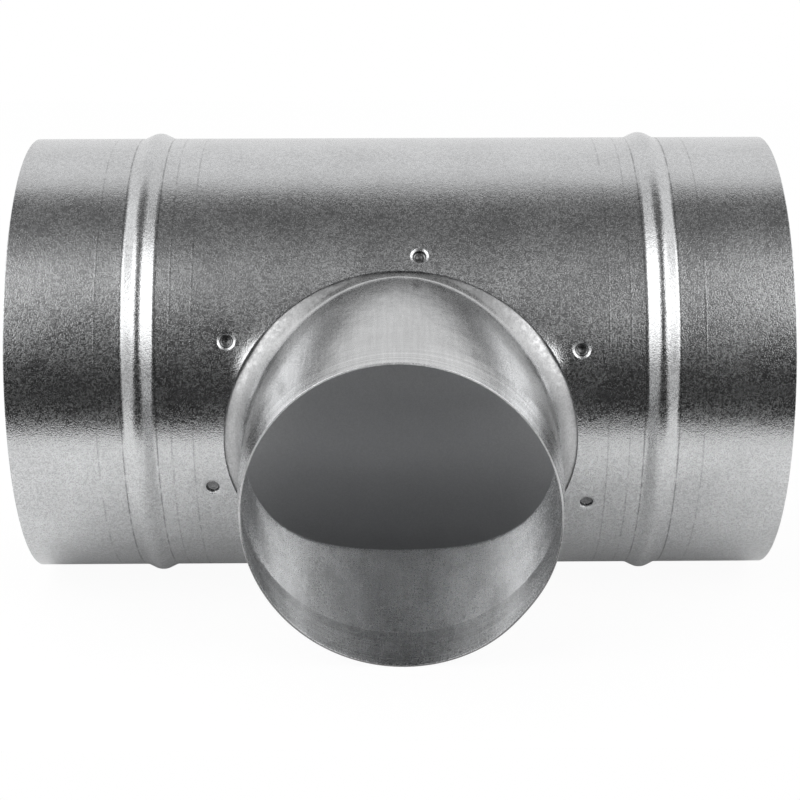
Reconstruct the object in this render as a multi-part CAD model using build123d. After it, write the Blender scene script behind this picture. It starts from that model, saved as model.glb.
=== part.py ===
from build123d import *
import os
from math import asin, atan2, cos, degrees, exp, hypot, pi, radians, sin, tan

# A reducing duct tee of galvanised sheet, made of two pressed pieces.
# Millimetres. It is drawn with the main axis along X and the branch along -Y, and then laid down
# as it comes to rest: on its two beads and on the lower edge of the branch mouth.

# Main tube: one sheet rolled round and welded along its back
MAIN_DIAMETER = 149.2
MAIN_LENGTH = 250.0
MAIN_SHEET = 0.5
BEAD_INSET = 42.0
BEAD_HEIGHT = 1.8
BEAD_WIDTH = 10.6
BEAD_CREST_RADIUS = 4.0
SEAM_WIDTH = 1.6
SEAM_RISE = 0.08
SEAM_EDGE = 0.04

# The cut-out in the main tube is a circle in the flat sheet, just clear of the foot of the neck
CUTOUT_GAP = 0.05

# Branch saddle: one sheet with a neck drawn out of it, lying inside the main tube. The neck is
# truly round over the spigot's length, and widens below it by the draft of the drawing tool.
BRANCH_DIAMETER = 98.8
BRANCH_REACH = 125.0
SADDLE_SHEET = 0.6
SADDLE_GAP = 0.05
FLANGE_LAP = 15.0
NECK_FILLET = 3.4
NECK_DRAFT = 0.4
SPIGOT_LENGTH = 31.0

# Calibrated band at the mouth, bent slightly out of round, with its edge cut slightly aslant
BAND_WIDTH = 16.0
MOUTH_SLANT = 3.0
MOUTH_SQUEEZE = 1.6
MOUTH_SQUEEZE_ANGLE = 14.0
DENT_DEPTH = 0.5
DENT_ANGLE = -40.0
DENT_SPREAD = 13.0
MOUTH_POINTS = 48

# Clinched joints between the two sheets: angle round the branch, and distance from the cut-out
CLINCHES = [(-21.6, 8.6), (28.2, 8.6), (84.3, 5.4), (148.4, 8.2), (195.0, 6.6), (268.0, 6.5)]
PIT_RADIUS = 2.05
PIT_ROUND = 0.85
PIT_DEPTH = 1.2
CUP_WALL = 0.35
BUTTON_WALL = 0.6
BUTTON_ROUND = 0.4

# How far a cutting shape runs past what it cuts, and how finely a rolled circle is drawn
OVERRUN = 1.0
OUTLINE_POINTS = 36

main_radius = MAIN_DIAMETER / 2
main_bore = main_radius - MAIN_SHEET
flange_outside = main_bore - SADDLE_GAP
neck_radius = BRANCH_DIAMETER / 2
half_length = MAIN_LENGTH / 2
bead_at = half_length - BEAD_INSET
crease_at = BRANCH_REACH - BAND_WIDTH
spigot_from = crease_at - SPIGOT_LENGTH
root_radius = neck_radius + spigot_from * tan(radians(NECK_DRAFT))
crotch_at = flange_outside * cos(asin(neck_radius / flange_outside))
crotch_radius = neck_radius + max(spigot_from - crotch_at, 0) * tan(radians(NECK_DRAFT))
neck_foot = main_radius * asin((crotch_radius + NECK_FILLET) / (flange_outside + NECK_FILLET))
cutout_radius = neck_foot + CUTOUT_GAP
flange_radius = cutout_radius + FLANGE_LAP
cup_radius = PIT_RADIUS + CUP_WALL
cup_bottom = -(PIT_DEPTH + CUP_WALL)
button_hollow = cup_radius + SADDLE_GAP
button_floor = cup_bottom - SADDLE_GAP
button_radius = button_hollow + BUTTON_WALL
button_bottom = button_floor - CUP_WALL


def bead_turn():
    """The angle that the sheet climbs by at each side of a bead."""
    return 2 * atan2(BEAD_HEIGHT, BEAD_WIDTH / 2)


def tube_line(inward):
    """The tube's profile from end to end, moved inward from its outer surface.

    Each bead is three tangent arcs: a hollow foot, the crest and the other foot. The arcs share
    their centres at every depth, so that the sheet keeps its thickness.
    """
    turn = bead_turn()
    both = BEAD_WIDTH / 2 / sin(turn)
    crest = BEAD_CREST_RADIUS - inward
    foot = both - BEAD_CREST_RADIUS + inward
    radius = main_radius - inward
    points = []
    for middle in (-bead_at, bead_at):
        crest_centre = main_radius + BEAD_HEIGHT - BEAD_CREST_RADIUS
        foot_centre = main_radius + both - BEAD_CREST_RADIUS
        feet = []
        for side in (-1, 1):
            foot_x = middle + side * both * sin(turn)
            feet.append([
                (foot_x, radius),
                (foot_x - side * foot * sin(turn / 2), foot_centre - foot * cos(turn / 2)),
                (middle + side * crest * sin(turn), crest_centre + crest * cos(turn)),
            ])
        top = (middle, crest_centre + crest)
        points.append((feet[0], top, feet[1]))
    return points, radius


def tube_edges(inward):
    """Lines and arcs of the tube's profile at one depth."""
    beads, radius = tube_line(inward)
    edges = []
    here = (-half_length, radius)
    for rising, top, falling in beads:
        edges.append(Line(here, rising[0]))
        edges.append(ThreePointArc(*rising))
        edges.append(ThreePointArc(rising[2], top, falling[2]))
        edges.append(ThreePointArc(*reversed(falling)))
        here = falling[0]
    edges.append(Line(here, (half_length, radius)))
    return edges


def tube_ring(outer, inner, axis_at=0.0, turn=360.0):
    """The solid between two depths of the tube's profile, turned about an axis along the tube."""
    edges = tube_edges(outer) + tube_edges(inner)
    for end in (-half_length, half_length):
        edges.append(Line((end, main_radius - outer), (end, main_radius - inner)))
    profile = make_face(Wire(edges))
    return revolve(profile, axis=Axis((0, axis_at, 0), (1, 0, 0)), revolution_arc=turn)


def seam():
    """The welded seam along the back: a low ridge with square edges and a rounded top."""
    half_width = SEAM_WIDTH / 2
    rounding = 1 / (2 * (SEAM_RISE - SEAM_EDGE) / half_width ** 2 + 1 / main_radius)
    axis_at = main_radius + SEAM_RISE - rounding
    half_turn = degrees(asin(half_width / rounding))
    ridge = tube_ring(-SEAM_RISE, MAIN_SHEET / 2, axis_at, 2 * half_turn)
    return Pos(0, axis_at, 0) * Rot(X=-half_turn) * Pos(0, -axis_at, 0) * ridge


def sheet_outline(radius):
    """A circle in the flat sheet, rolled round the main tube and seen along the branch."""
    points = []
    for step in range(OUTLINE_POINTS):
        angle = 2 * pi * step / OUTLINE_POINTS
        across = radius * cos(angle)
        around = radius * sin(angle) / main_radius
        points.append((across, main_radius * sin(around)))
    return make_face(Spline(*points, periodic=True))


def cutter(radius):
    """A prism along the branch with a rolled circle for its outline."""
    outline = Plane.XZ * sheet_outline(radius)
    return extrude(outline, amount=2 * BRANCH_REACH, dir=(0, -1, 0))


def clinch_places():
    """A plane on the outer surface of the main tube for each clinched joint, facing outwards."""
    places = []
    for angle, beyond in CLINCHES:
        radius = cutout_radius + beyond
        across = radius * cos(radians(angle))
        around = radius * sin(radians(angle)) / main_radius
        out = Vector(0, -cos(around), sin(around))
        places.append(Plane(Vector(across, 0, 0) + out * main_radius, x_dir=(1, 0, 0), z_dir=out))
    return places


def pit():
    """The hollow pressed into the main tube: a rounded shoulder, a straight wall and a flat floor."""
    lip = PIT_RADIUS + PIT_ROUND
    edges = [
        Line((0, OVERRUN), (lip, OVERRUN)),
        Line((lip, OVERRUN), (lip, 0)),
        ThreePointArc(
            (lip, 0),
            (lip - PIT_ROUND * sin(pi / 4), -PIT_ROUND + PIT_ROUND * cos(pi / 4)),
            (PIT_RADIUS, -PIT_ROUND),
        ),
        Line((PIT_RADIUS, -PIT_ROUND), (PIT_RADIUS, -PIT_DEPTH)),
        Line((PIT_RADIUS, -PIT_DEPTH), (0, -PIT_DEPTH)),
        Line((0, -PIT_DEPTH), (0, OVERRUN)),
    ]
    return revolve(make_face(Plane.XZ * Wire(edges)), axis=Axis.Z)


def boss(radius, top, bottom, rounding):
    """A round boss below the outer surface, with its lower edge rounded."""
    body = Pos(0, 0, bottom) * Cylinder(radius, top - bottom, align=(Align.CENTER, Align.CENTER, Align.MIN))
    return fillet(body.edges().sort_by(Axis.Z)[0], rounding) if rounding else body


def main_tube():
    """The rolled tube with its two beads, the cut-out, the weld seam and the clinched cups."""
    tube = tube_ring(0, MAIN_SHEET) - cutter(cutout_radius)
    tube += seam()
    for place in clinch_places():
        tube += place.location * boss(cup_radius, -MAIN_SHEET / 2, cup_bottom, 0)
        tube -= place.location * pit()
    return tube


def mouth_radius(angle):
    """The mouth's outer radius at an angle in radians round the branch.

    It is the neck's radius, less a squeeze that is widest near the sides, less one shallow dent.
    """
    squeeze = MOUTH_SQUEEZE * cos(angle - radians(MOUTH_SQUEEZE_ANGLE)) ** 2
    away = (degrees(angle) - DENT_ANGLE + 180) % 360 - 180
    dent = DENT_DEPTH * exp(-((away / DENT_SPREAD) ** 2))
    return neck_radius - squeeze - dent


def mouth_ring(inward):
    """The closed edge of the mouth at one depth in the sheet, on its slanted plane."""
    points = []
    for step in range(MOUTH_POINTS):
        angle = 2 * pi * step / MOUTH_POINTS
        radius = mouth_radius(angle) - inward
        up = radius * sin(angle)
        points.append((radius * cos(angle), -BRANCH_REACH + up * tan(radians(MOUTH_SLANT)), up))
    return Wire(Spline(*points, periodic=True))


def band(inward):
    """The solid inside the mouth's band at one depth in the sheet, from the crease to the mouth."""
    crease = Plane(origin=(0, -crease_at, 0), x_dir=(1, 0, 0), z_dir=(0, 1, 0))
    start = Wire(crease * Edge.make_circle(neck_radius - inward))
    return Solid.make_loft([start, mouth_ring(inward)], ruled=True)


def neck_and_tube(inward):
    """The solid inside the saddle's surface at one depth: a length of tube, with the neck on it."""
    tube = Rot(Y=90) * Cylinder(flange_outside - inward, 2 * (flange_radius + OVERRUN))
    seat = (Align.CENTER, Align.CENTER, Align.MIN)
    root = Cone(root_radius - inward, neck_radius - inward, spigot_from, align=seat)
    spigot = Pos(0, 0, spigot_from) * Cylinder(neck_radius - inward, SPIGOT_LENGTH, align=seat)
    both = tube + Rot(X=90) * (root + spigot)
    joint = [
        edge for edge in both.edges()
        if edge.geom_type not in (GeomType.CIRCLE, GeomType.LINE) and edge.center().Y < 0
    ]
    return fillet(joint, NECK_FILLET + inward) + band(inward)


def branch_saddle():
    """The saddle: a curved flange, the neck drawn out of it and the band at the mouth."""
    saddle = neck_and_tube(0) - neck_and_tube(SADDLE_SHEET)
    saddle &= cutter(flange_radius)
    for place in clinch_places():
        below_sheet = flange_outside - main_radius - SADDLE_SHEET / 2
        saddle += place.location * boss(button_radius, below_sheet, button_bottom, BUTTON_ROUND)
        hollow = boss(button_hollow, OVERRUN, button_floor, 0)
        saddle -= place.location * hollow
    return saddle


def lay_down(shape):
    """Turn the tee until its lower mouth edge stands level with its beads, and set it on the floor."""
    bead_radius = main_radius + BEAD_HEIGHT
    drop = mouth_radius(radians(-90))
    reach = BRANCH_REACH + drop * tan(radians(MOUTH_SLANT))
    turn = asin(bead_radius / hypot(reach, drop)) - atan2(drop, reach)
    rise = mouth_radius(radians(90))
    front = (BRANCH_REACH - rise * tan(radians(MOUTH_SLANT))) * cos(turn) + rise * sin(turn)
    return Pos(0, (front - bead_radius) / 2, bead_radius) * Rot(X=degrees(turn)) * shape


os.makedirs("parts", exist_ok=True)
for name, piece in (("main_tube", main_tube()), ("branch_saddle", branch_saddle())):
    placed = lay_down(piece)
    solids = placed.solids()
    export_step(solids[0] if len(solids) == 1 else placed, f"parts/{name}.step")
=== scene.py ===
from functools import reduce
from math import asin, atan2, cos, hypot, pi, radians, sin, tan

import bpy
import numpy as np
from mathutils import Matrix


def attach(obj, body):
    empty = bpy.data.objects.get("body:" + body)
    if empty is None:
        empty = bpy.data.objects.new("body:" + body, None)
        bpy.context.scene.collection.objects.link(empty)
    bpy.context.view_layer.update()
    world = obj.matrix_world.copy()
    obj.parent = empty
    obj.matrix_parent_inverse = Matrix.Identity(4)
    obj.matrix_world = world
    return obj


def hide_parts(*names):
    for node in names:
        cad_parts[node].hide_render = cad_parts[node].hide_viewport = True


# The looks of a reducing duct tee: two galvanised sheets, a studio round them and the camera.
# Shapes are worked out in millimetres with the main axis along X and the branch along -Y, and are
# then laid down and written in metres, in the frame of the solids.

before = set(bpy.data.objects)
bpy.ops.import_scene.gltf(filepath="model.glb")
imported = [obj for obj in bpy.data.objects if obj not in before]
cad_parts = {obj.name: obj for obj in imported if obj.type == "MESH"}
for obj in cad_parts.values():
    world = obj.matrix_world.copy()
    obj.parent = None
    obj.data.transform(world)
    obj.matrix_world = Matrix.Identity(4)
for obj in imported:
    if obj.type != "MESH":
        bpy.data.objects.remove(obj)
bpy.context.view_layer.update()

# Main sheet
TUBE_RADIUS = 74.6
CIRCLE = 2 * pi * TUBE_RADIUS
TUBE_HALF = 125.0
TUBE_SHEET = 0.5
BEAD_AT = 83.0
BEAD_RISE = 1.8
BEAD_HALF_WIDTH = 5.3
BEAD_CREST = 4.6
BEAD_FOOT = 2.2
CUTOUT = 56.22
SEAM_RISE = 0.08
SEAM_HALF_WIDTH = 0.8
SEAM_FLAT_SHARE = 0.3

# Where the edge of the cut-out is lifted: the turn round the branch, its spread, and the height
EDGE_LIFTS = ((radians(149), radians(9), 0.8), (radians(31), radians(7), 0.64))
LIFT_FADE = 2.2

# Grid of the main sheet: counts of cells and lines, and the rings round the cut-out
FRONT_CELLS = 64
BACK_CELLS = 112
CREST_LINES = 13
FLANK_LINES = 6
BEAD_FOOT_LINES = 6
SPIGOT_LINES = 12
SEAM_LINES = (-1.4, -1.0, -0.65, -0.3, 0.0, 0.3, 0.65, 1.0, 1.4)
BEAD_ROOM = 0.7
HOLE_ROWS = (0.0, 0.15, 0.45)
HOLE_RINGS_FROM = 1.1
HOLE_RINGS_TO = 70.0
HOLE_RINGS = 15
SQUARE_SHARES = (0.2, 0.42, 0.64, 0.84)

# Branch sheet
NECK_RADIUS = 49.4
NECK_DRAFT = radians(0.4)
ROUND_FROM = 78.0
CREASE_AT = 109.0
MOUTH_AT = 125.0
MOUTH_SLANT = radians(3.0)
MOUTH_SQUEEZE = 1.6
SQUEEZE_TURN = radians(14.0)
DENT = 0.5
DENT_TURN = radians(-40.0)
DENT_SPREAD = radians(13.0)
BURR = 0.25
BURR_TURN = radians(93.0)
BURR_SPREAD = radians(4.0)
BURR_WAVES = 173
BRANCH_SHEET = 0.6
BRANCH_STEPS = 300
FLANGE_RADIUS = 74.05
FLANGE_REACH = 71.22
FLANGE_RINGS = 14
FLANGE_RINGS_FROM = 1.5
FLANGE_RINGS_SHORT = 0.5
FORWARD_SHARE = 0.6
BAND_BY_CREASE = (-0.4, 0.0, 0.4)
BAND_SHARES = np.linspace(0.1, 0.92, 8)
BAND_BY_MOUTH = (0.5, 0.15, 0.0)

# Strip from the hole line to the fillet at the neck's foot
STRIP_FIRST = radians(16.0)
STRIP_FIRST_ABOVE = radians(28.0)
STRIP_SHARE = 0.5
STRIP_STEPS = (0.0, 0.12, 0.24, 0.36, 0.48, 0.6, 0.75, 0.9, 0.97, 1.0)
FOOT_AT = 55.0
FOOT_OUT = 0.25
FOOT_OUT_ASIDE = 1.75
FILLET_REACH = 2.1
FILLET_STEPS = 12
NECK_STEPS = 12

# Clinched joints: angle round the branch in degrees, and radius in the flat sheet
CLINCHES = (
    (-21.6, 64.82), (28.2, 64.82), (84.3, 61.62), (148.4, 64.42), (195.0, 62.82), (268.0, 62.72),
)
PIT_PROFILE = (
    (3.05, 0.0), (2.92, -0.02), (2.8, -0.07), (2.68, -0.14), (2.55, -0.19), (2.4, -0.225),
    (2.28, -0.27), (2.18, -0.36), (2.1, -0.5), (2.05, -0.75), (2.02, -1.05), (1.95, -1.25),
    (1.8, -1.36), (1.4, -1.4), (0.7, -1.4),
)
BUTTON_PROFILE = (
    (3.3, 0.0), (3.1, -0.02), (2.9, -0.1), (2.7, -0.28), (2.6, -0.5), (2.56, -0.85),
    (2.5, -1.12), (2.3, -1.23), (1.9, -1.25), (1.3, -1.25), (0.7, -1.25),
)
PIT_LEADS = (0.62, 0.28)
PIT_HALF_RINGS = 4
PIT_HALF_STEPS = 3
# Painted shade in the pits: none shallower than this depth in millimetres, full this much deeper
PIT_PAINTED_SHADE_FROM = 0.2
PIT_PAINTED_SHADE_OVER = 0.6
CUP_WALL = 0.35

# Cut edges: how far in the first rows lie, and the shares of wall and bulge over the round section
EDGE_ROWS = (0.0, 0.2, 0.6)
EDGE_ROUND = 0.1
RIM_SECTION = ((0.14, 0.7), (0.5, 1.0), (0.86, 0.7))
RIM_INSIDE = 0.3
# Painted shade on the rims: none above this height in millimetres, full this much lower
RIM_PAINTED_SHADE_BELOW = 10.0
RIM_PAINTED_SHADE_OVER = 30.0

# The least length that a normal is divided by
TINY = 1e-12

# Lines rolled round the tube, and painted shade lines at the bead feet, in metres from its middle, and the
# half width of each
ROLLER_LINES = (0.0965, 0.0729, 0.066)
PAINTED_FOOT_SHADE_AT = (0.0885, 0.0775)
LINE_HALF_WIDTH = 0.0005


def smooth_step(t):
    """0 below 0, 1 above 1, and 3tt - 2ttt between."""
    t = np.clip(t, 0.0, 1.0)
    return t * t * (3 - 2 * t)


def bell(away, spread):
    """e to the minus square of the distance over the spread."""
    return np.exp(-((away / spread) ** 2))


def turn_from(angle, middle):
    """The signed turn from the middle to the angle, between minus pi and pi."""
    return (angle - middle + pi) % (2 * pi) - pi


def neck_radius(y):
    """The neck's radius at a place along the branch: a cone of small draft, then a round spigot."""
    return NECK_RADIUS + np.maximum(ROUND_FROM + y, 0) * tan(NECK_DRAFT)


def mouth_radius(angle):
    """The spigot's radius, less a cosine-squared squeeze at the sides, less a bell-shaped dent."""
    squeeze = MOUTH_SQUEEZE * np.cos(angle - SQUEEZE_TURN) ** 2
    return NECK_RADIUS - squeeze - DENT * bell(turn_from(angle, DENT_TURN), DENT_SPREAD)


def laid_down():
    """The turn about X that brings the lower mouth edge level with the beads, and the shift after it."""
    bead_radius = TUBE_RADIUS + BEAD_RISE
    drop, rise = mouth_radius(-pi / 2), mouth_radius(pi / 2)
    reach = MOUTH_AT + drop * tan(MOUTH_SLANT)
    turn = asin(bead_radius / hypot(reach, drop)) - atan2(drop, reach)
    front = (MOUTH_AT - rise * tan(MOUTH_SLANT)) * cos(turn) + rise * sin(turn)
    return turn, np.array([0.0, (front - bead_radius) / 2, bead_radius])


LAY_TURN, LAY_SHIFT = laid_down()


def turned(points):
    """Points or directions turned about X by the laying-down turn."""
    x, y, z = points[..., 0], points[..., 1], points[..., 2]
    c, s = cos(LAY_TURN), sin(LAY_TURN)
    return np.stack([x, y * c - z * s, y * s + z * c], axis=-1)


def placed(points):
    """Millimetres in the drawing's frame, laid down and written in metres."""
    return (turned(points) + LAY_SHIFT) / 1000


def bead_turn():
    """The slope of a bead's straight flanks, which touch its round crest and its hollow feet."""
    both = BEAD_CREST + BEAD_FOOT
    sunk = both - BEAD_RISE
    return asin(both / hypot(BEAD_HALF_WIDTH, sunk)) - atan2(sunk, BEAD_HALF_WIDTH)


def bead_rise(x):
    """The height of a bead over the tube: a round crest, straight flanks and round hollow feet."""
    turn = bead_turn()
    away = np.abs(np.abs(x) - BEAD_AT)
    top = BEAD_RISE - BEAD_CREST
    crest = top + np.sqrt(np.maximum(BEAD_CREST ** 2 - away ** 2, 0))
    flank = top + BEAD_CREST * cos(turn) - tan(turn) * (away - BEAD_CREST * sin(turn))
    left = np.clip(BEAD_HALF_WIDTH - away, 0, BEAD_FOOT)
    foot = BEAD_FOOT - np.sqrt(BEAD_FOOT ** 2 - left ** 2)
    near = np.where(away < BEAD_CREST * sin(turn), crest, flank)
    return np.where(left > BEAD_FOOT * sin(turn), near, foot)


def sheet_lift(x, around):
    """How far the main sheet stands off its true cylinder.

    The edge of the cut-out is lifted at two places, each a bell in the turn round the branch that
    fades by e to the minus distance from the edge. The seam at the back is a low rounded ridge.
    """
    angle = np.arctan2(around, x)
    away = np.maximum(np.hypot(x, around) - CUTOUT, 0)
    lift = sum(height * bell(turn_from(angle, turn), spread) for turn, spread, height in EDGE_LIFTS)
    from_seam = np.abs(np.abs(around) - CIRCLE / 2) / SEAM_HALF_WIDTH
    ridge = 1 - smooth_step((from_seam - SEAM_FLAT_SHARE) / (1 - SEAM_FLAT_SHARE))
    return lift * np.exp(-away / LIFT_FADE) + SEAM_RISE * ridge


def rolled(x, around, radius):
    """A flat sheet rolled round the main axis: the distance round it over the radius is the angle."""
    angle = around / TUBE_RADIUS
    return np.stack([x, -radius * np.cos(angle), radius * np.sin(angle)], axis=-1)


def quads_between(rows):
    """The four-sided faces between neighbouring rows of point numbers, each row closed on itself."""
    here, there = rows[:-1], rows[1:]
    return np.stack([here, np.roll(here, -1, 1), np.roll(there, -1, 1), there], axis=-1)


def disc_rows(count, loop, centre, profile):
    """New points for a round pit that fills a loop of points in the flat sheet.

    Some rows lead from the loop to the pit's lip, and the rest follow the profile of radius and
    height along the same directions from the centre, where a pole closes them. Returns the flat
    points, their heights, the point numbers by row, and the pole's number.
    """
    out = loop - centre
    far = np.hypot(out[:, 0], out[:, 1])[:, None]
    ways = out / far
    lip = profile[0][0]
    rows = [centre + ways * (lip + (far - lip) * share) for share in PIT_LEADS]
    rows += [centre + ways * radius for radius, height in profile]
    heights = [0.0] * len(PIT_LEADS) + [height for radius, height in profile]
    flat = np.concatenate([*rows, centre[None, :]])
    numbers = count + np.arange(len(flat) - 1).reshape(-1, len(loop))
    return flat, np.append(np.repeat(heights, len(loop)), heights[-1]), numbers, count + len(flat) - 1


def block_loop(numbers):
    """The border of a block of point numbers, in order round it."""
    return np.concatenate([numbers[0, :-1], numbers[:-1, -1], numbers[-1, :0:-1], numbers[:0:-1, 0]])


def with_pits(flat, rings, quads_keep, profile):
    """Cuts a block of cells round each clinched joint out of the rings, and fills it with a pit.

    flat holds the points in the flat sheet, rings the point numbers by ring and step round the
    branch. Returns the points, heights, quads, triangles, and which points belong to a pit.
    """
    keep = np.ones((rings.shape[0] - 1, rings.shape[1]), bool)
    height = np.zeros(len(flat))
    quads, triangles, pit_points = [quads_keep], [], []
    for angle, radius in CLINCHES:
        centre = radius * np.array([cos(radians(angle)), sin(radians(angle))])
        away = np.hypot(*(flat[rings] - centre).transpose(2, 0, 1))
        ring, step = np.unravel_index(np.argmin(away), away.shape)
        first, last = ring - PIT_HALF_RINGS, ring + PIT_HALF_RINGS
        steps = np.arange(step - PIT_HALF_STEPS, step + PIT_HALF_STEPS + 1) % rings.shape[1]
        keep[first:last, steps[:-1]] = False
        loop = block_loop(rings[first:last + 1][:, steps])
        new_flat, new_height, rows, pole = disc_rows(len(flat), flat[loop], centre, profile)
        flat = np.concatenate([flat, new_flat])
        height = np.concatenate([height, new_height])
        quads.append(quads_between(np.concatenate([loop[None], rows])).reshape(-1, 4))
        inmost = rows[-1]
        poles = np.full(len(inmost), pole)
        triangles.append(np.stack([inmost, np.roll(inmost, -1), poles], axis=-1))
        pit_points.append(np.append(rows[len(PIT_LEADS) + 1:], pole))
    quads.append(quads_between(rings)[keep])
    return flat, height, np.concatenate(quads), np.concatenate(triangles), np.concatenate(pit_points)


def face_normals(points, faces):
    """The area normal of each face: the cross product of a quad's diagonals or a triangle's sides."""
    corners = points[faces]
    return np.cross(corners[:, 2] - corners[:, 0], corners[:, -1] - corners[:, 1])


def facing(points, faces, outwards):
    """Each face turned so that its normal agrees with the outward direction at its middle."""
    agree = (face_normals(points, faces) * outwards[faces].mean(1)).sum(1) >= 0
    return np.where(agree[:, None], faces, faces[:, ::-1])


def point_normals(points, quads, triangles):
    """A unit normal at each point: the sum of the area normals of the faces round it."""
    total = np.zeros_like(points)
    for faces in (quads, triangles):
        normals = face_normals(points, faces)
        for corner in range(faces.shape[1]):
            np.add.at(total, faces[:, corner], normals)
    return total / np.maximum(np.linalg.norm(total, axis=1, keepdims=True), TINY)


def border_edges(quads):
    """The directed edges of quads that no other quad runs along the other way."""
    edges = np.concatenate([quads[:, [k, (k + 1) % 4]] for k in range(4)])
    size = quads.max() + 1
    forward = edges[:, 0].astype(np.int64) * size + edges[:, 1]
    back = edges[:, 1].astype(np.int64) * size + edges[:, 0]
    return edges[~np.isin(forward, back)]


def closed_sheet(points, quads, triangles, wall, painted_shade):
    """A sheet with a thickness: the outer skin, the same skin moved in along its normals, and rims.

    A rim's section is rounded: its points stand out from the line between the two skins by a bulge
    that is greatest in the middle. Also returned are values at the points: "inside" is 1 on the
    inner skin, the painted shade is as given on the outer skin and grows downwards on a rim, and
    "cut" is 1 on a rim.
    """
    used = np.unique(np.concatenate([quads.ravel(), triangles.ravel()]))
    renumber = np.zeros(len(points), np.int64)
    renumber[used] = np.arange(len(used))
    points, quads, triangles = points[used], renumber[quads], renumber[triangles]
    wall, painted_shade = wall[used], painted_shade[used]
    count = len(points)
    normal = point_normals(points, quads, triangles)
    border = border_edges(quads)
    along = points[border[:, 1]] - points[border[:, 0]]
    along /= np.linalg.norm(along, axis=1, keepdims=True)
    sideways = np.cross(along, normal[border[:, 0]])
    out = np.zeros_like(points)
    np.add.at(out, border[:, 0], sideways)
    np.add.at(out, border[:, 1], sideways)
    rim = np.unique(border)
    out = out[rim] / np.linalg.norm(out[rim], axis=1, keepdims=True)
    at_rim = np.zeros(count, np.int64)
    at_rim[rim] = np.arange(len(rim))
    skins = [points, points - normal * wall[:, None]]
    lines = [border]
    for row, (share, bulge) in enumerate(RIM_SECTION):
        skins.append(points[rim] - normal[rim] * (wall[rim] * share)[:, None] + out * EDGE_ROUND * bulge)
        lines.append(2 * count + row * len(rim) + at_rim[border])
    lines.append(count + border)
    rims = [
        np.stack([upper[:, 1], upper[:, 0], lower[:, 0], lower[:, 1]], axis=-1)
        for upper, lower in zip(lines[:-1], lines[1:])
    ]
    all_quads = np.concatenate([quads, count + quads[:, ::-1], *rims])
    all_triangles = np.concatenate([triangles, count + triangles[:, ::-1]])
    on_rims = len(RIM_SECTION) * len(rim)
    # Painted shade on the lower part of each rim
    low = smooth_step((RIM_PAINTED_SHADE_BELOW - points[rim, 2]) / RIM_PAINTED_SHADE_OVER)
    values = {
        "inside": np.concatenate([np.zeros(count), np.ones(count), np.full(on_rims, RIM_INSIDE)]),
        "painted_shade": np.concatenate([painted_shade, np.zeros(count), np.tile(low, len(RIM_SECTION))]),
        "cut": np.concatenate([np.zeros(2 * count), np.ones(on_rims)]),
    }
    return np.concatenate(skins), all_quads, all_triangles, values


def new_piece(name, points, quads, triangles, values):
    """A smooth mesh object made from whole arrays, with each of the values as a point attribute."""
    mesh = bpy.data.meshes.new(name)
    mesh.vertices.add(len(points))
    mesh.vertices.foreach_set("co", placed(points).astype(np.float32).ravel())
    corners = np.concatenate([quads.ravel(), triangles.ravel()]).astype(np.int32)
    sizes = np.concatenate([np.full(len(quads), 4), np.full(len(triangles), 3)]).astype(np.int32)
    mesh.loops.add(len(corners))
    mesh.loops.foreach_set("vertex_index", corners)
    mesh.polygons.add(len(sizes))
    mesh.polygons.foreach_set("loop_start", (np.cumsum(sizes) - sizes).astype(np.int32))
    mesh.polygons.foreach_set("use_smooth", np.ones(len(sizes), bool))
    mesh.update(calc_edges=True)
    mesh.validate()
    for label, numbers in values.items():
        attribute = mesh.attributes.new(label, "FLOAT", "POINT")
        attribute.data.foreach_set("value", numbers.astype(np.float32))
    piece = bpy.data.objects.new(name, mesh)
    bpy.context.scene.collection.objects.link(piece)
    return piece


def end_lines():
    """Positions along the tube from the middle to one end, close together over the bead."""
    turn = bead_turn()
    crest = BEAD_CREST * np.sin(np.linspace(-turn, turn, CREST_LINES))
    foot = BEAD_HALF_WIDTH - BEAD_FOOT * np.sin(np.linspace(turn, 0, BEAD_FOOT_LINES))
    flank = np.linspace(crest[-1], foot[0], FLANK_LINES)[1:-1]
    side = np.concatenate([flank, foot])
    bead = BEAD_AT + np.concatenate([-side[::-1], crest, side])
    by_edge = TUBE_HALF - EDGE_ROUND - np.array(EDGE_ROWS)
    plain = np.linspace(BEAD_AT + BEAD_HALF_WIDTH, by_edge[-1], SPIGOT_LINES)[1:]
    return np.concatenate([bead, plain, by_edge[-2::-1]])


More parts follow.
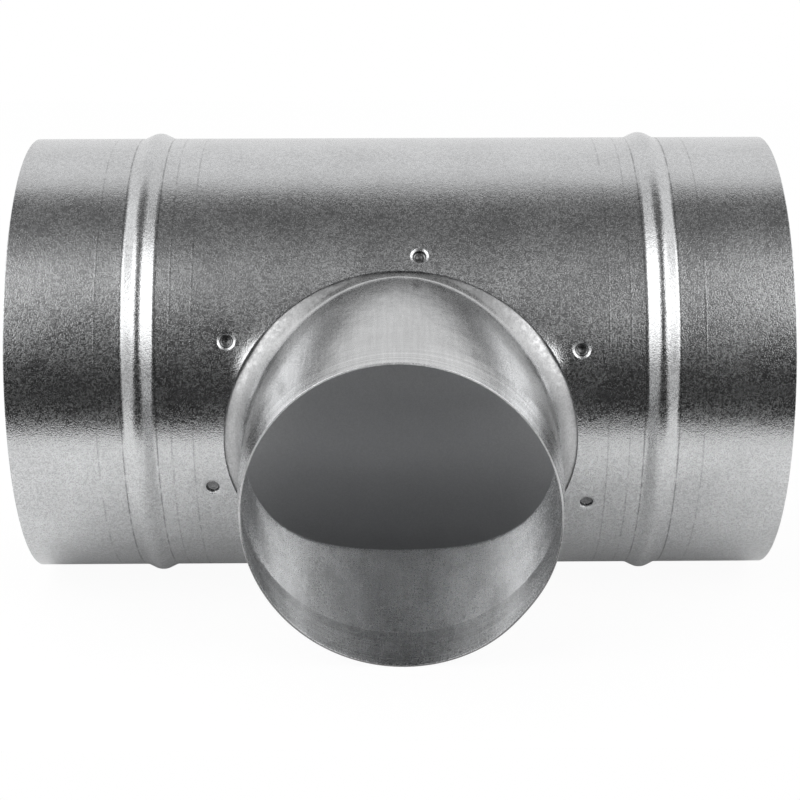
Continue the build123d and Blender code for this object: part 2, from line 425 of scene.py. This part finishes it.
def main_sheet():
    """The rolled main sheet: a grid of positions along and round the tube, rings round the cut-out.

    A square of the grid in front is left out and filled with rings, which go from the square to
    the round edge of the cut-out along straight rays in the flat sheet. A point's radius is the
    tube's, plus the bead's height, the sheet's lift and the height in a pit.
    """
    side = BEAD_AT - BEAD_HALF_WIDTH - BEAD_ROOM
    middle = np.linspace(-side, side, FRONT_CELLS + 1)
    ends = end_lines()
    along = np.concatenate([-ends[::-1], middle, ends])
    back = np.linspace(side, CIRCLE - side, BACK_CELLS + 1)[1:-1]
    back = back[np.abs(back - CIRCLE / 2) > 2 * SEAM_HALF_WIDTH]
    seam_lines = CIRCLE / 2 + SEAM_HALF_WIDTH * np.array(SEAM_LINES)
    around = np.concatenate([middle, np.sort(np.concatenate([back, seam_lines]))])
    numbers = np.arange(len(along) * len(around)).reshape(len(along), len(around))
    flat = np.stack(np.meshgrid(along, around, indexing="ij"), axis=-1).reshape(-1, 2)
    quads = quads_between(numbers)
    first, last = len(ends), len(ends) + FRONT_CELLS
    open_cells = np.ones(quads.shape[:2], bool)
    open_cells[first:last, :FRONT_CELLS] = False
    square = block_loop(numbers[first:last + 1, :FRONT_CELLS + 1])
    corner = flat[square]
    angle = np.arctan2(corner[:, 1], corner[:, 0])
    ways = np.stack([np.cos(angle), np.sin(angle)], axis=-1)
    edge = CUTOUT + EDGE_ROUND
    evenly = np.linspace(edge + HOLE_RINGS_FROM, HOLE_RINGS_TO, HOLE_RINGS)
    rings = [ways * radius for radius in np.concatenate([edge + np.array(HOLE_ROWS), evenly])]
    outmost = rings[-1]
    rings += [outmost + (corner - outmost) * share for share in SQUARE_SHARES]
    ring_numbers = len(flat) + np.arange(len(rings) * len(square)).reshape(len(rings), -1)
    flat = np.concatenate([flat, *rings])
    ring_numbers = np.concatenate([ring_numbers, square[None]])
    flat, height, quads, triangles, pits = with_pits(flat, ring_numbers, quads[open_cells], PIT_PROFILE)
    x, s = flat[:, 0], flat[:, 1]
    points = rolled(x, s, TUBE_RADIUS + bead_rise(x) + sheet_lift(x, s) + height)
    outwards = rolled(0 * x, s, 1.0)
    wall = np.full(len(points), TUBE_SHEET)
    wall[pits] = CUP_WALL
    # Painted shade in the pits, growing with depth
    painted_shade = smooth_step((-height - PIT_PAINTED_SHADE_FROM) / PIT_PAINTED_SHADE_OVER)
    quads, triangles = facing(points, quads, outwards), facing(points, triangles, outwards)
    return closed_sheet(points, quads, triangles, wall, painted_shade)


def strip_rows(way, hole_line):
    """Rows of the strip from the hole line to the fillet, as radius and place along the branch.

    The sheet climbs out of the flange at an angle that grows evenly with the share w of the strip's
    width: its height is the width over the growth, times ln cos of the first angle less ln cos of
    the angle at w. The angle's limit is the one at which the strip would run along the branch.
    """
    r_hole = np.hypot(hole_line[:, 0], hole_line[:, 2])
    r_foot = neck_radius(-FOOT_AT) + FOOT_OUT + FOOT_OUT_ASIDE * np.cos(way) ** 2
    stretch = np.hypot(1, r_hole * np.sin(way) ** 2 / hole_line[:, 1])
    limit = np.arcsin(1 / stretch)
    first = STRIP_FIRST + (STRIP_FIRST_ABOVE - STRIP_FIRST) * np.sin(way) ** 2
    growth = STRIP_SHARE * (limit - first)
    width = (r_hole - r_foot) * stretch
    rows = []
    for share in STRIP_STEPS:
        radius = r_hole + (r_foot - r_hole) * share
        lift = width / growth * (np.log(np.cos(first)) - np.log(np.cos(first + growth * share)))
        rows.append((radius, -np.sqrt((FLANGE_RADIUS + lift) ** 2 - (radius * np.sin(way)) ** 2)))
    return rows


def fillet_rows(before, foot):
    """Rows of a conic arc that leaves the strip along its last slope and ends along the neck.

    Its three control points are the strip's foot, the corner where the slope meets the neck, and a
    point on the neck beyond the corner. The corner's weight is the sine of half its angle.
    """
    (r_before, y_before), (r_foot, y_foot) = before, foot
    slope = (y_foot - y_before) / (r_foot - r_before)
    r_corner = neck_radius(y_foot)
    y_corner = y_foot + slope * (r_corner - r_foot)
    y_end = y_corner - FILLET_REACH
    r_end = neck_radius(y_end)
    cosine = (y_corner - y_foot) / np.hypot(r_foot - r_corner, y_foot - y_corner)
    weight = np.sqrt((1 - np.clip(cosine, -1, 1)) / 2)
    rows = []
    for t in np.linspace(0, 1, FILLET_STEPS + 1)[1:]:
        a, b, c = (1 - t) ** 2, 2 * t * (1 - t) * weight, t ** 2
        radius = (a * r_foot + b * r_corner + c * r_end) / (a + b + c)
        rows.append((radius, (a * y_foot + b * y_corner + c * y_end) / (a + b + c)))
    return rows


def neck_rows(y_start):
    """Rows at even steps along the neck, between the fillet's end and the crease."""
    shares = np.linspace(0, 1, NECK_STEPS + 1)[1:-1]
    places = [y_start + (-CREASE_AT - y_start) * share for share in shares]
    return [(neck_radius(y), y) for y in places]


def band_rows(way):
    """Rows of the band, which is ruled from the round crease to the mouth.

    The mouth lies on a slanted plane, and has a small burr: a bell in the turn, times the square of
    a sine of many waves.
    """
    mouth = mouth_radius(way)
    burr = BURR * bell(turn_from(way, BURR_TURN), BURR_SPREAD) * np.sin(way * BURR_WAVES) ** 2
    y_mouth = -MOUTH_AT + EDGE_ROUND + mouth * np.sin(way) * tan(MOUTH_SLANT) + burr
    width = MOUTH_AT - CREASE_AT
    by_crease = np.array(BAND_BY_CREASE) / width
    by_mouth = 1 - np.array(BAND_BY_MOUTH) / width
    rows = []
    for share in np.concatenate([by_crease, BAND_SHARES, by_mouth]):
        radius = NECK_RADIUS + (mouth - NECK_RADIUS) * max(share, 0)
        rows.append((radius, -CREASE_AT + (y_mouth + CREASE_AT) * share))
    return rows


def branch_sheet():
    """The branch sheet, as rows from the flange's edge to the mouth, each closed round the branch.

    On the flange a row is a circle in the flat sheet, rolled to the flange's radius. From the hole
    line on, a row is given by its radius and place along the branch at each turn round it: the
    climbing strip, the fillet, the neck and the band.
    """
    angle = 2 * pi * np.arange(BRANCH_STEPS) / BRANCH_STEPS
    edge = FLANGE_REACH - EDGE_ROUND
    evenly = np.linspace(edge - FLANGE_RINGS_FROM, CUTOUT + FLANGE_RINGS_SHORT, FLANGE_RINGS)
    radii = np.concatenate([edge - np.array(EDGE_ROWS), evenly])
    ways = np.stack([np.cos(angle), np.sin(angle)], axis=-1)
    flat = np.concatenate([ways * radius for radius in radii])
    rings = np.arange(len(flat)).reshape(len(radii), BRANCH_STEPS)
    flat, height, quads, triangles, pits = with_pits(
        flat, rings, np.zeros((0, 4), np.int64), BUTTON_PROFILE
    )
    flange = rolled(flat[:, 0], flat[:, 1], FLANGE_RADIUS + height)
    flange_out = rolled(0 * flat[:, 0], flat[:, 1], 1.0)

    hole_line = rolled(CUTOUT * np.cos(angle), CUTOUT * np.sin(angle), FLANGE_RADIUS)
    way = np.arctan2(hole_line[:, 2], hole_line[:, 0])
    rows = strip_rows(way, hole_line)
    rows += fillet_rows(*rows[-2:])
    rows += neck_rows(rows[-1][1])
    rows += band_rows(way)
    neck = [np.stack([r * np.cos(way), y, r * np.sin(way)], axis=-1) for r, y in rows]
    numbers = len(flange) + np.arange(len(neck) * BRANCH_STEPS).reshape(len(neck), BRANCH_STEPS)

    # Outwards on the neck is away from the branch axis, and a little forwards for the strip
    forwards = FORWARD_SHARE * flange_out[rings[-1], 1]
    neck_out = np.stack([np.cos(way), forwards, np.sin(way)], axis=-1)
    points = np.concatenate([flange, *neck])
    outwards = np.concatenate([flange_out, np.tile(neck_out, (len(neck), 1))])
    neck_quads = quads_between(np.concatenate([rings[-1:], numbers])).reshape(-1, 4)
    quads = np.concatenate([quads, neck_quads])
    wall = np.full(len(points), BRANCH_SHEET)
    wall[pits] = CUP_WALL
    quads, triangles = facing(points, quads, outwards), facing(points, triangles, outwards)
    return closed_sheet(points, quads, triangles, wall, np.zeros(len(points)))


class Nodes:
    """The node tree of a material or a world, emptied and then filled one node at a time."""

    def __init__(self, owner):
        owner.use_nodes = True
        self.tree = owner.node_tree
        self.tree.nodes.clear()

    def add(self, kind, settings=(), **inputs):
        """One node with its settings and inputs, where an input is a value or a node's output.

        The inputs i0, i1 and so on go by their place, and any other by its name.
        """
        node = self.tree.nodes.new(kind)
        for key, value in dict(settings).items():
            setattr(node, key, value)
        for key, value in inputs.items():
            by_place = key[0] == "i" and key[1:].isdigit()
            socket = node.inputs[int(key[1:]) if by_place else key.replace("_", " ")]
            if isinstance(value, bpy.types.NodeSocket):
                self.tree.links.new(value, socket)
            else:
                socket.default_value = value
        return node

    def end(self, kind, shader):
        """Links a shader to the tree's output node."""
        self.tree.links.new(shader.outputs[0], self.add(kind).inputs["Surface"])

    def calc(self, operation, *values):
        """The output of one Math node."""
        places = {f"i{place}": value for place, value in enumerate(values)}
        return self.add("ShaderNodeMath", {"operation": operation}, **places).outputs[0]

    def plus(self, *values):
        """The sum of the values."""
        return reduce(lambda one, other: self.calc("ADD", one, other), values)

    def times(self, *values):
        """The product of the values."""
        return reduce(lambda one, other: self.calc("MULTIPLY", one, other), values)

    def most(self, *values):
        """The greatest of the values."""
        return reduce(lambda one, other: self.calc("MAXIMUM", one, other), values)

    def unlike(self, value):
        """One less the value."""
        return self.calc("SUBTRACT", 1.0, value)

    def between(self, value, low, high, to_low=0.0, to_high=1.0):
        """A value between two limits mapped by a smooth step to two others, and clamped beyond."""
        settings = {"interpolation_type": "SMOOTHSTEP"}
        mapped = self.add(
            "ShaderNodeMapRange", settings, i0=value, i1=low, i2=high, i3=to_low, i4=to_high
        )
        return mapped.outputs[0]

    def spread(self, value, amount, low=0.3, high=0.7):
        """A noise value mapped to between minus and plus the amount."""
        return self.between(value, low, high, -amount, amount)

    def toned(self, value, mask, share):
        """The value as it is where the mask is 0, and the share of it where the mask is 1."""
        return self.times(value, self.between(mask, 0.0, 1.0, 1.0, share))

    def noise(self, vector, scale=1.0, detail=2.0, roughness=0.5):
        """The grey value of a noise texture, with a mean of one half."""
        named = {"Scale": scale, "Detail": detail, "Roughness": roughness}
        return self.add("ShaderNodeTexNoise", i0=vector, **named).outputs[0]

    def place(self):
        """The object's own coordinates."""
        return self.add("ShaderNodeTexCoord").outputs["Object"]

    def attribute(self, name):
        """The value of a point attribute."""
        return self.add("ShaderNodeAttribute", {"attribute_name": name}).outputs["Fac"]

    def vector_math(self, operation, vector, other):
        """The output of one Vector Math node."""
        return self.add("ShaderNodeVectorMath", {"operation": operation}, i0=vector, i1=other).outputs[0]

    def turned_back(self, where):
        """Coordinates turned back from the laid-down frame to the drawing's directions."""
        settings = {"rotation_type": "X_AXIS"}
        return self.add("ShaderNodeVectorRotate", settings, Vector=where, Angle=-LAY_TURN).outputs[0]

    def stretched(self, where, scale):
        """Coordinates turned to the drawing's directions and scaled on each axis."""
        return self.vector_math("MULTIPLY", self.turned_back(where), scale)

    def drawn(self, where):
        """The drawing's own x, y and z in metres."""
        c, s = cos(LAY_TURN), sin(LAY_TURN)
        x, y, z = LAY_SHIFT / 1000
        own = self.vector_math("SUBTRACT", self.turned_back(where), (x, y * c + z * s, z * c - y * s))
        return self.add("ShaderNodeSeparateXYZ", i0=own).outputs

    def bump(self, height, depth, strength=1.0, **before):
        """The normal bent by a height that is a depth in metres, after any bump before it."""
        bent = self.add("ShaderNodeBump", Strength=strength, Distance=depth, Height=height, **before)
        return bent.outputs[0]

    def metal(self, grey, rough, normal, green_share, blue_share):
        """A metal surface of a grey that leans a little to green and blue."""
        green, blue = self.times(grey, green_share), self.times(grey, blue_share)
        colour = self.add("ShaderNodeCombineColor", i0=grey, i1=green, i2=blue).outputs[0]
        shader = self.add(
            "ShaderNodeBsdfPrincipled", Base_Color=colour, Metallic=1.0, Roughness=rough, Normal=normal
        )
        self.end("ShaderNodeOutputMaterial", shader)


def ring_lines(nodes, x, places, breaks):
    """Fine lines round the tube: 1 on a line, 0 beyond its half width, weakened by the breaks."""
    away_from = [nodes.calc("ABSOLUTE", nodes.calc("SUBTRACT", x, place)) for place in places]
    lines = [nodes.between(away, LINE_HALF_WIDTH, 0.0) for away in away_from]
    return nodes.times(nodes.plus(*lines), breaks)


def galvanised_main():
    """Galvanised sheet with a fine matt grain in its grey, its roughness and its bump.

    The grain is noise under a millimetre across, over broader clouds, and a broad swell bends what
    the sheet mirrors. Fine lines run round the tube beside the beads, painted shade lines darken
    their feet, and the seam is a darker line. Painted shade darkens the pits and the lower cut
    edges. The skin inside the duct is smoother.
    """
    outer_grey, inner_grey, inner_unevenness = 0.545, 0.55, 0.3
    # Shares of the grey left on roller marks, under the painted shade at the bead feet, under the painted
    # shade in pits and on lower cut edges, and on the seam
    roller_shade, painted_foot_share, painted_shade_share, seam_shade = 0.78, 0.52, 0.35, 0.72
    inner_rough, seam_rough = 0.36, 0.4
    seam_edge, seam_core = 0.0012, 0.0005
    swell_depth, line_depth, grain_depth = 0.0006, 0.000035, 0.00008

    made = bpy.data.materials.new("galvanised_tube")
    nodes = Nodes(made)
    where = nodes.place()
    inside, painted_shade = nodes.attribute("inside"), nodes.attribute("painted_shade")
    fine = nodes.noise(where, scale=3000.0, detail=0.0)
    coarse = nodes.noise(where, scale=900.0, detail=1.0)
    speckle = nodes.plus(nodes.times(fine, 0.65), nodes.times(coarse, 0.35))
    clouds = nodes.noise(where, scale=60.0, detail=3.0, roughness=0.55)
    swell = nodes.noise(nodes.stretched(where, (12.0, 26.0, 26.0)), detail=1.0, roughness=0.4)

    x, y, z = nodes.drawn(where)
    off_middle = nodes.calc("ABSOLUTE", x)
    gaps = nodes.noise(where, scale=250.0)
    rolled_lines = ring_lines(nodes, off_middle, ROLLER_LINES, nodes.between(gaps, 0.3, 0.55))
    painted_foot_shade = ring_lines(nodes, off_middle, PAINTED_FOOT_SHADE_AT, nodes.between(gaps, 0.3, 0.6, 0.35, 1.0))
    behind = nodes.between(y, 0.03, 0.05)
    seam = nodes.times(nodes.between(nodes.calc("ABSOLUTE", z), seam_edge, seam_core), behind)

    uneven = nodes.plus(nodes.spread(speckle, 0.12), nodes.spread(clouds, 0.025))
    base = nodes.between(inside, 0.0, 1.0, outer_grey, inner_grey)
    grey = nodes.plus(base, nodes.toned(uneven, inside, inner_unevenness))
    # Roller marks darken the grey, and painted shade darkens the feet of the beads
    grey = nodes.toned(nodes.toned(grey, rolled_lines, roller_shade), painted_foot_shade, painted_foot_share)
    # Painted shade in the pits and on the lower cut edges, and a darker seam
    grey = nodes.toned(nodes.toned(grey, painted_shade, painted_shade_share), seam, seam_shade)

    grain_rough = nodes.between(speckle, 0.35, 0.65, 0.13, 0.27)
    cloud_rough = nodes.between(clouds, 0.3, 0.7, 0.0, 0.04)
    least = nodes.most(nodes.times(inside, inner_rough), nodes.times(seam, seam_rough))
    rough = nodes.most(nodes.plus(grain_rough, cloud_rough), least)

    waved = nodes.bump(swell, swell_depth)
    lined = nodes.bump(rolled_lines, line_depth, 0.6, Normal=waved)
    strength = nodes.between(inside, 0.0, 1.0, 0.85, 0.25)
    normal = nodes.bump(speckle, grain_depth, strength, Normal=lined)
    nodes.metal(grey, rough, normal, green_share=1.008, blue_share=1.02)
    return made


def galvanised_branch():
    """Galvanised sheet drawn bright: streaks along the neck, rings near the mouth, soft mottling.

    The inner skin is painted paler, as painted light inside the neck, and is more mottled, with
    painted shade on the band. The strip by the hole is rougher and flaked, and the cut edges, as at
    the mouth, are matt, with a painted highlight on their upper part and painted shade below.
    """
    # The inner skin is painted paler than the outer one, as painted light inside the neck
    outer_grey, inner_grey = 0.54, 0.79
    # Shares of the grey: painted shade on the lower cut edges, painted shade on the inner band, a painted
    # highlight on the upper cut edges, and off and on the strip
    painted_shade_share, painted_band_share, cut_painted_highlight, off_strip_shade, strip_shade = 0.35, 0.8, 1.4, 1.04, 0.9
    cut_rough = 0.6
    strip_from, strip_full = 0.0497, 0.0513
    wave_depth, mark_depth = 0.0003, 0.00005

    made = bpy.data.materials.new("galvanised_saddle")
    nodes = Nodes(made)
    where = nodes.place()
    inside, painted_shade = nodes.attribute("inside"), nodes.attribute("painted_shade")
    streaks = nodes.noise(nodes.stretched(where, (900.0, 40.0, 900.0)), roughness=0.55)
    rings = nodes.noise(nodes.stretched(where, (8.0, 700.0, 8.0)), roughness=0.6)
    patches = nodes.noise(nodes.stretched(where, (90.0, 45.0, 90.0)), detail=3.0, roughness=0.6)
    grain = nodes.noise(where, scale=2000.0, detail=1.0, roughness=0.6)
    clouds = nodes.noise(where, scale=45.0, detail=3.0, roughness=0.6)
    flakes = nodes.noise(where, scale=700.0, roughness=0.6)

    x, y, z = nodes.drawn(where)
    crease = -CREASE_AT / 1000
    by_rim = nodes.between(y, crease + 0.006, crease - 0.008)
    # Painted shade on the inner skin of the band, from the crease to the mouth
    painted_band_shade = nodes.times(nodes.between(y, crease + 0.0005, crease - 0.0005), inside)
    from_axis = nodes.calc("SQRT", nodes.plus(nodes.times(x, x), nodes.times(z, z)))
    on_strip = nodes.times(nodes.between(from_axis, strip_from, strip_full), nodes.unlike(inside))
    # The cut edges away from their painted shade, where a painted highlight goes
    cut = nodes.times(nodes.attribute("cut"), nodes.unlike(painted_shade))

    turned_marks = nodes.times(by_rim, nodes.spread(rings, 0.09, 0.35, 0.65))
    mottle = nodes.plus(nodes.spread(grain, 0.13), nodes.spread(patches, 0.07, 0.35, 0.65))
    uneven = nodes.plus(nodes.spread(streaks, 0.03), nodes.spread(clouds, 0.05), turned_marks)
    base = nodes.between(inside, 0.0, 1.0, outer_grey, inner_grey)
    grey = nodes.plus(base, uneven, nodes.times(inside, mottle))
    # Painted shade on the lower cut edges and on the inner band, and a painted highlight on the upper cut
    # edges
    for mask, share in ((painted_shade, painted_shade_share), (painted_band_shade, painted_band_share), (cut, cut_painted_highlight)):
        grey = nodes.toned(grey, mask, share)
    grey = nodes.times(grey, nodes.between(on_strip, 0.0, 1.0, off_strip_shade, strip_shade))
    grey = nodes.plus(grey, nodes.times(on_strip, nodes.spread(grain, 0.06)))

    grain_rough = nodes.between(grain, 0.3, 0.7, 0.16, 0.28)
    cloud_rough = nodes.between(clouds, 0.3, 0.7, 0.0, 0.06)
    strip_rough = nodes.times(on_strip, nodes.between(flakes, 0.35, 0.6, 0.34, 0.5))
    least = nodes.most(nodes.times(cut, cut_rough), strip_rough)
    rough = nodes.most(nodes.plus(grain_rough, cloud_rough), least)

    waved = nodes.bump(patches, wave_depth)
    marks = nodes.plus(streaks, nodes.times(rings, 0.6), nodes.times(grain, 0.7))
    strength = nodes.between(inside, 0.0, 1.0, 0.6, 0.3)
    normal = nodes.bump(marks, mark_depth, strength, Normal=waved)
    nodes.metal(grey, rough, normal, green_share=1.005, blue_share=1.012)
    return made


def floor_piece():
    """A plain pale table top: near white to the camera, dim where mirrored, and pale to the light."""
    seen_share, mirrored_share, matt_grey = 0.95, 0.1, 0.9
    half_width, front, back = 3.0, -0.15, 3.0
    made = bpy.data.materials.new("pale_table")
    nodes = Nodes(made)
    path = nodes.add("ShaderNodeLightPath").outputs
    matt = nodes.add("ShaderNodeBsdfDiffuse", Color=(matt_grey, matt_grey, matt_grey, 1.0))
    white = nodes.add("ShaderNodeEmission", Color=(1.0, 1.0, 1.0, 1.0), Strength=1.0)
    seen = nodes.times(path["Is Camera Ray"], seen_share)
    mirrored = nodes.times(nodes.most(path["Is Glossy Ray"], path["Is Transmission Ray"]), mirrored_share)
    share = nodes.most(seen, mirrored)
    mixed = nodes.add("ShaderNodeMixShader", i0=share, i1=matt.outputs[0], i2=white.outputs[0])
    nodes.end("ShaderNodeOutputMaterial", mixed)
    mesh = bpy.data.meshes.new("table")
    corners = [(-half_width, front, 0), (half_width, front, 0), (half_width, back, 0), (-half_width, back, 0)]
    mesh.from_pydata(corners, [], [(0, 1, 2, 3)])
    mesh.materials.append(made)
    floor = bpy.data.objects.new("table", mesh)
    bpy.context.scene.collection.objects.link(floor)


def studio():
    """The surroundings: a white backdrop behind, a dim room in front and one soft lamp overhead.

    The world goes by direction. It is white behind the tee. In front it is a dim room that grows
    lighter upwards, with a faint patch at the upper left and right, a bright soft box at either
    side and a faint low strip farther aside. The camera, and a ray through glass, sees white all
    round. The lamp lights the table and isn't mirrored.
    """
    back_level, patch_level, right_patch_share, box_level, strip_level = 0.96, 0.55, 0.6, 2.2, 0.6
    lamp_side, lamp_energy, lamp_place, lamp_tilt = 1.6, 9.0, (-0.5, -0.1, 1.2), -0.39

    world = bpy.data.worlds.new("studio")
    bpy.context.scene.world = world
    nodes = Nodes(world)
    way = nodes.add("ShaderNodeTexCoord").outputs["Generated"]
    x, y, z = nodes.add("ShaderNodeSeparateXYZ", i0=way).outputs
    aside = nodes.calc("ABSOLUTE", x)
    behind = nodes.between(y, 0.16, 0.34)
    room = nodes.between(z, 0.0, 0.65, 0.035, 0.15)
    left_patch = nodes.times(nodes.between(x, 0.0, -0.2), nodes.between(z, 0.38, 0.78))
    right_patch = nodes.times(nodes.between(x, 0.02, 0.24), nodes.between(z, 0.15, 0.65))
    both_patches = nodes.plus(left_patch, nodes.times(right_patch, right_patch_share))
    patches = nodes.times(both_patches, nodes.between(z, 1.0, 0.75), patch_level)
    box_sides = nodes.times(nodes.between(aside, 0.26, 0.42), nodes.between(y, -0.1, -0.4, 0.25, 1.0))
    box_heights = nodes.times(nodes.between(z, 0.05, 0.3), nodes.between(z, 0.95, 0.75))
    boxes = nodes.times(box_sides, box_heights, box_level)
    strip_sides = nodes.times(nodes.between(aside, 0.42, 0.62), nodes.between(z, -0.4, -0.15))
    strips = nodes.times(strip_sides, nodes.between(z, 0.3, 0.05), strip_level)
    front = nodes.times(nodes.plus(room, patches, boxes, strips), nodes.unlike(behind))
    level = nodes.plus(nodes.times(behind, back_level), front)
    path = nodes.add("ShaderNodeLightPath").outputs
    level = nodes.most(path["Is Camera Ray"], path["Is Transmission Ray"], level)
    light = nodes.add("ShaderNodeBackground", Color=(1.0, 1.0, 1.0, 1.0), Strength=level)
    nodes.end("ShaderNodeOutputWorld", light)
    lamp = bpy.data.lights.new("overhead", "AREA")
    lamp.shape = "RECTANGLE"
    lamp.size, lamp.size_y = lamp_side, lamp_side
    lamp.energy = lamp_energy
    hung = bpy.data.objects.new("overhead", lamp)
    hung.location = lamp_place
    hung.rotation_euler = (0.0, lamp_tilt, 0.0)
    hung.visible_glossy = False
    hung.visible_camera = False
    bpy.context.scene.collection.objects.link(hung)


def camera():
    """The photograph's camera: its place, aim and lens in the drawing's frame, then laid down.

    Lengths are in millimetres, angles in radians, and the lens and its centre in picture points.
    """
    picture_side = 800
    x, away, elevation = -0.567, 673.78, 0.40939
    yaw, dip, roll = 0.010445, 0.016097, -0.000257
    focal, centre_x, centre_y = 1904.71, 417.105, 381.188
    pitch = elevation + dip
    forward = np.array([sin(yaw) * cos(pitch), cos(yaw) * cos(pitch), -sin(pitch)])
    level_right = np.array([cos(yaw), -sin(yaw), 0.0])
    level_up = np.cross(level_right, forward)
    right = level_right * cos(roll) + level_up * sin(roll)
    up = level_up * cos(roll) - level_right * sin(roll)
    matrix = np.eye(4)
    matrix[:3, :3] = turned(np.stack([right, up, -forward])).T
    matrix[:3, 3] = placed(np.array([x, -away * cos(elevation), away * sin(elevation)]))
    lens = bpy.data.cameras.new("camera")
    lens.lens = focal * lens.sensor_width / picture_side
    lens.shift_x = (picture_side / 2 - centre_x) / picture_side
    lens.shift_y = (centre_y - picture_side / 2) / picture_side
    eye = bpy.data.objects.new("camera", lens)
    eye.matrix_world = Matrix(matrix.tolist())
    bpy.context.scene.collection.objects.link(eye)
    bpy.context.scene.camera = eye


def dress():
    """Makes the two sheets, gives them their finishes and puts each in the place of its solid."""
    for name, shape, finish, node in (
        ("main_sheet", main_sheet, galvanised_main, "main_tube"),
        ("branch_sheet", branch_sheet, galvanised_branch, "branch_saddle"),
    ):
        piece = new_piece(name, *shape())
        piece.data.materials.append(finish())
        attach(piece, "root")
        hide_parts(node)


dress()
floor_piece()
studio()
camera()
bpy.context.scene.view_settings.view_transform = "Standard"
